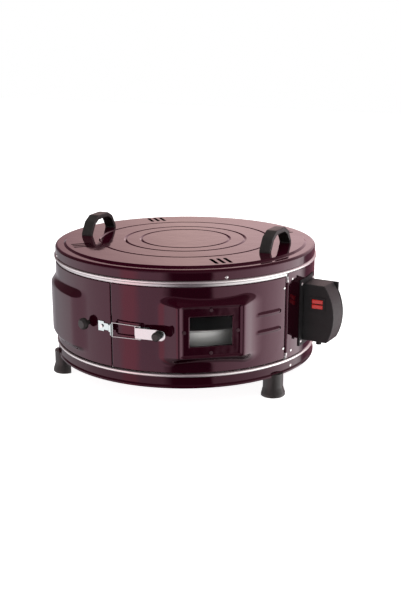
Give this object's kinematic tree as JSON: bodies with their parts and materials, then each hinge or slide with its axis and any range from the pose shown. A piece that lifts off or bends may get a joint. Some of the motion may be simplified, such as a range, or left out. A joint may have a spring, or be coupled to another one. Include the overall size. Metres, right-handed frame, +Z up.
{
  "type": "electric_drum_oven",
  "caption": "Round enamelled electric oven on feet, with a fixed lid, curved hinged double doors, a windowed door, a draw latch, heaters, a tray and a side control box",
  "frame": {"origin": "on the floor, at the middle of the object's box seen from above", "axes": "+Z up, -Y to the front where the two doors meet, +X to the right where the control box is"},
  "size_m": [0.5417, 0.501, 0.2777],
  "materials": {
    "enamel": "glossy burgundy vitreous enamel",
    "bright_trim": "polished",
    "inner_steel": "plain sheet steel",
    "fixings": "bright plated",
    "latch_steel": "bright plated",
    "black_plastic": "satin moulded",
    "grey_plastic": "fine matt moulded",
    "red_plastic": "clear glossy",
    "clear_glass": "toughened clear",
    "seal_rubber": "matt",
    "window_steel": "plain sheet steel",
    "heater": "dull oxidised tube",
    "ceramic": "unglazed ceramic",
    "tray_metal": "satin"
  },
  "bodies": {
    "drum": {"base_pan": "enamel", "rear_wall": "enamel", "lid": "enamel", "lower_trim_ring": "bright_trim", "upper_trim_ring": "bright_trim", "lower_hoop": "inner_steel", "upper_hoop": "inner_steel", "floor_plate": "inner_steel", "roof_plate": "inner_steel", "hinge_post_right": "inner_steel", "hinge_post_left": "inner_steel", "hinge_eyes_right": "inner_steel", "hinge_eyes_left": "inner_steel", "hinge_pin_right": "inner_steel", "hinge_pin_left": "inner_steel", "element_clips": "inner_steel", "wall_rivets": "fixings", "base_screws": "fixings", "lid_screws": "fixings", "handle_screws": "fixings", "foot_screws": "fixings", "box_screws": "fixings", "handle_right": "black_plastic", "handle_left": "black_plastic", "foot_right": "black_plastic", "foot_left": "black_plastic", "foot_rear": "black_plastic", "box_flange": "black_plastic", "box_panel": "black_plastic", "box_rear_block": "black_plastic", "switch_body": "black_plastic", "cord_gland": "black_plastic", "box_housing": "grey_plastic", "lower_element": "heater", "upper_element": "heater", "element_bushes": "ceramic", "terminal_block": "ceramic"},
    "right_door": {"door_right": "enamel", "hinge_leaf_right": "enamel", "hinge_rivets_right": "fixings", "window_seal": "seal_rubber", "window_glass": "clear_glass", "window_frame": "window_steel", "window_screws": "fixings", "latch_base": "latch_steel", "latch_rivets": "fixings", "latch_pin": "latch_steel"},
    "left_door": {"door_left": "enamel", "hinge_leaf_left": "enamel", "hinge_rivets_left": "fixings", "latch_keeper": "latch_steel", "keeper_rivet": "fixings", "door_knob": "black_plastic"},
    "lever": {"latch_lever": "latch_steel", "lever_knob": "black_plastic"},
    "loop": {"latch_loop": "latch_steel"},
    "upper_rocker": {"rocker_upper": "red_plastic"},
    "lower_rocker": {"rocker_lower": "red_plastic"},
    "rack": {"wire_rack": "latch_steel"},
    "tray": {"baking_tray": "tray_metal"}
  },
  "joints": [
    {"name": "right_door_hinge", "type": "hinge", "parent": "drum", "child": "right_door", "pos_m": [0.20656, -0.04913, 0.1379], "axis": [0, 0, 1], "range_deg": [0, 110]},
    {"name": "left_door_hinge", "type": "hinge", "parent": "drum", "child": "left_door", "pos_m": [-0.26286, -0.04913, 0.1379], "axis": [0, 0, -1], "range_deg": [0, 110]},
    {"name": "latch_lever_pivot", "type": "hinge", "parent": "right_door", "child": "lever", "pos_m": [0.02432, -0.23893, 0.1339], "axis": [0, 0, -1], "range_deg": [0, 120]},
    {"name": "latch_loop_pivot", "type": "hinge", "parent": "lever", "child": "loop", "pos_m": [0.03089, -0.23853, 0.1339], "axis": [0, 0, -1], "range_deg": [-156, 0]},
    {"name": "upper_rocker_pivot", "type": "hinge", "parent": "drum", "child": "upper_rocker", "pos_m": [0.24085, 0.00676, 0.1584], "axis": [0, 0, -1], "range_deg": [0, 12]},
    {"name": "lower_rocker_pivot", "type": "hinge", "parent": "drum", "child": "lower_rocker", "pos_m": [0.24085, 0.00676, 0.1494], "axis": [0, 0, -1], "range_deg": [0, 12]},
    {"name": "rack_lift", "type": "slide", "parent": "drum", "child": "rack", "axis": [0, 0, 1], "range_m": [0, 0.012]},
    {"name": "tray_lift", "type": "slide", "parent": "rack", "child": "tray", "axis": [0, 0, 1], "range_m": [0, 0.06]}
  ],
  "couplings": [
    {"joint": "latch_loop_pivot", "follows": "latch_lever_pivot", "ratio": -1.3}
  ]
}
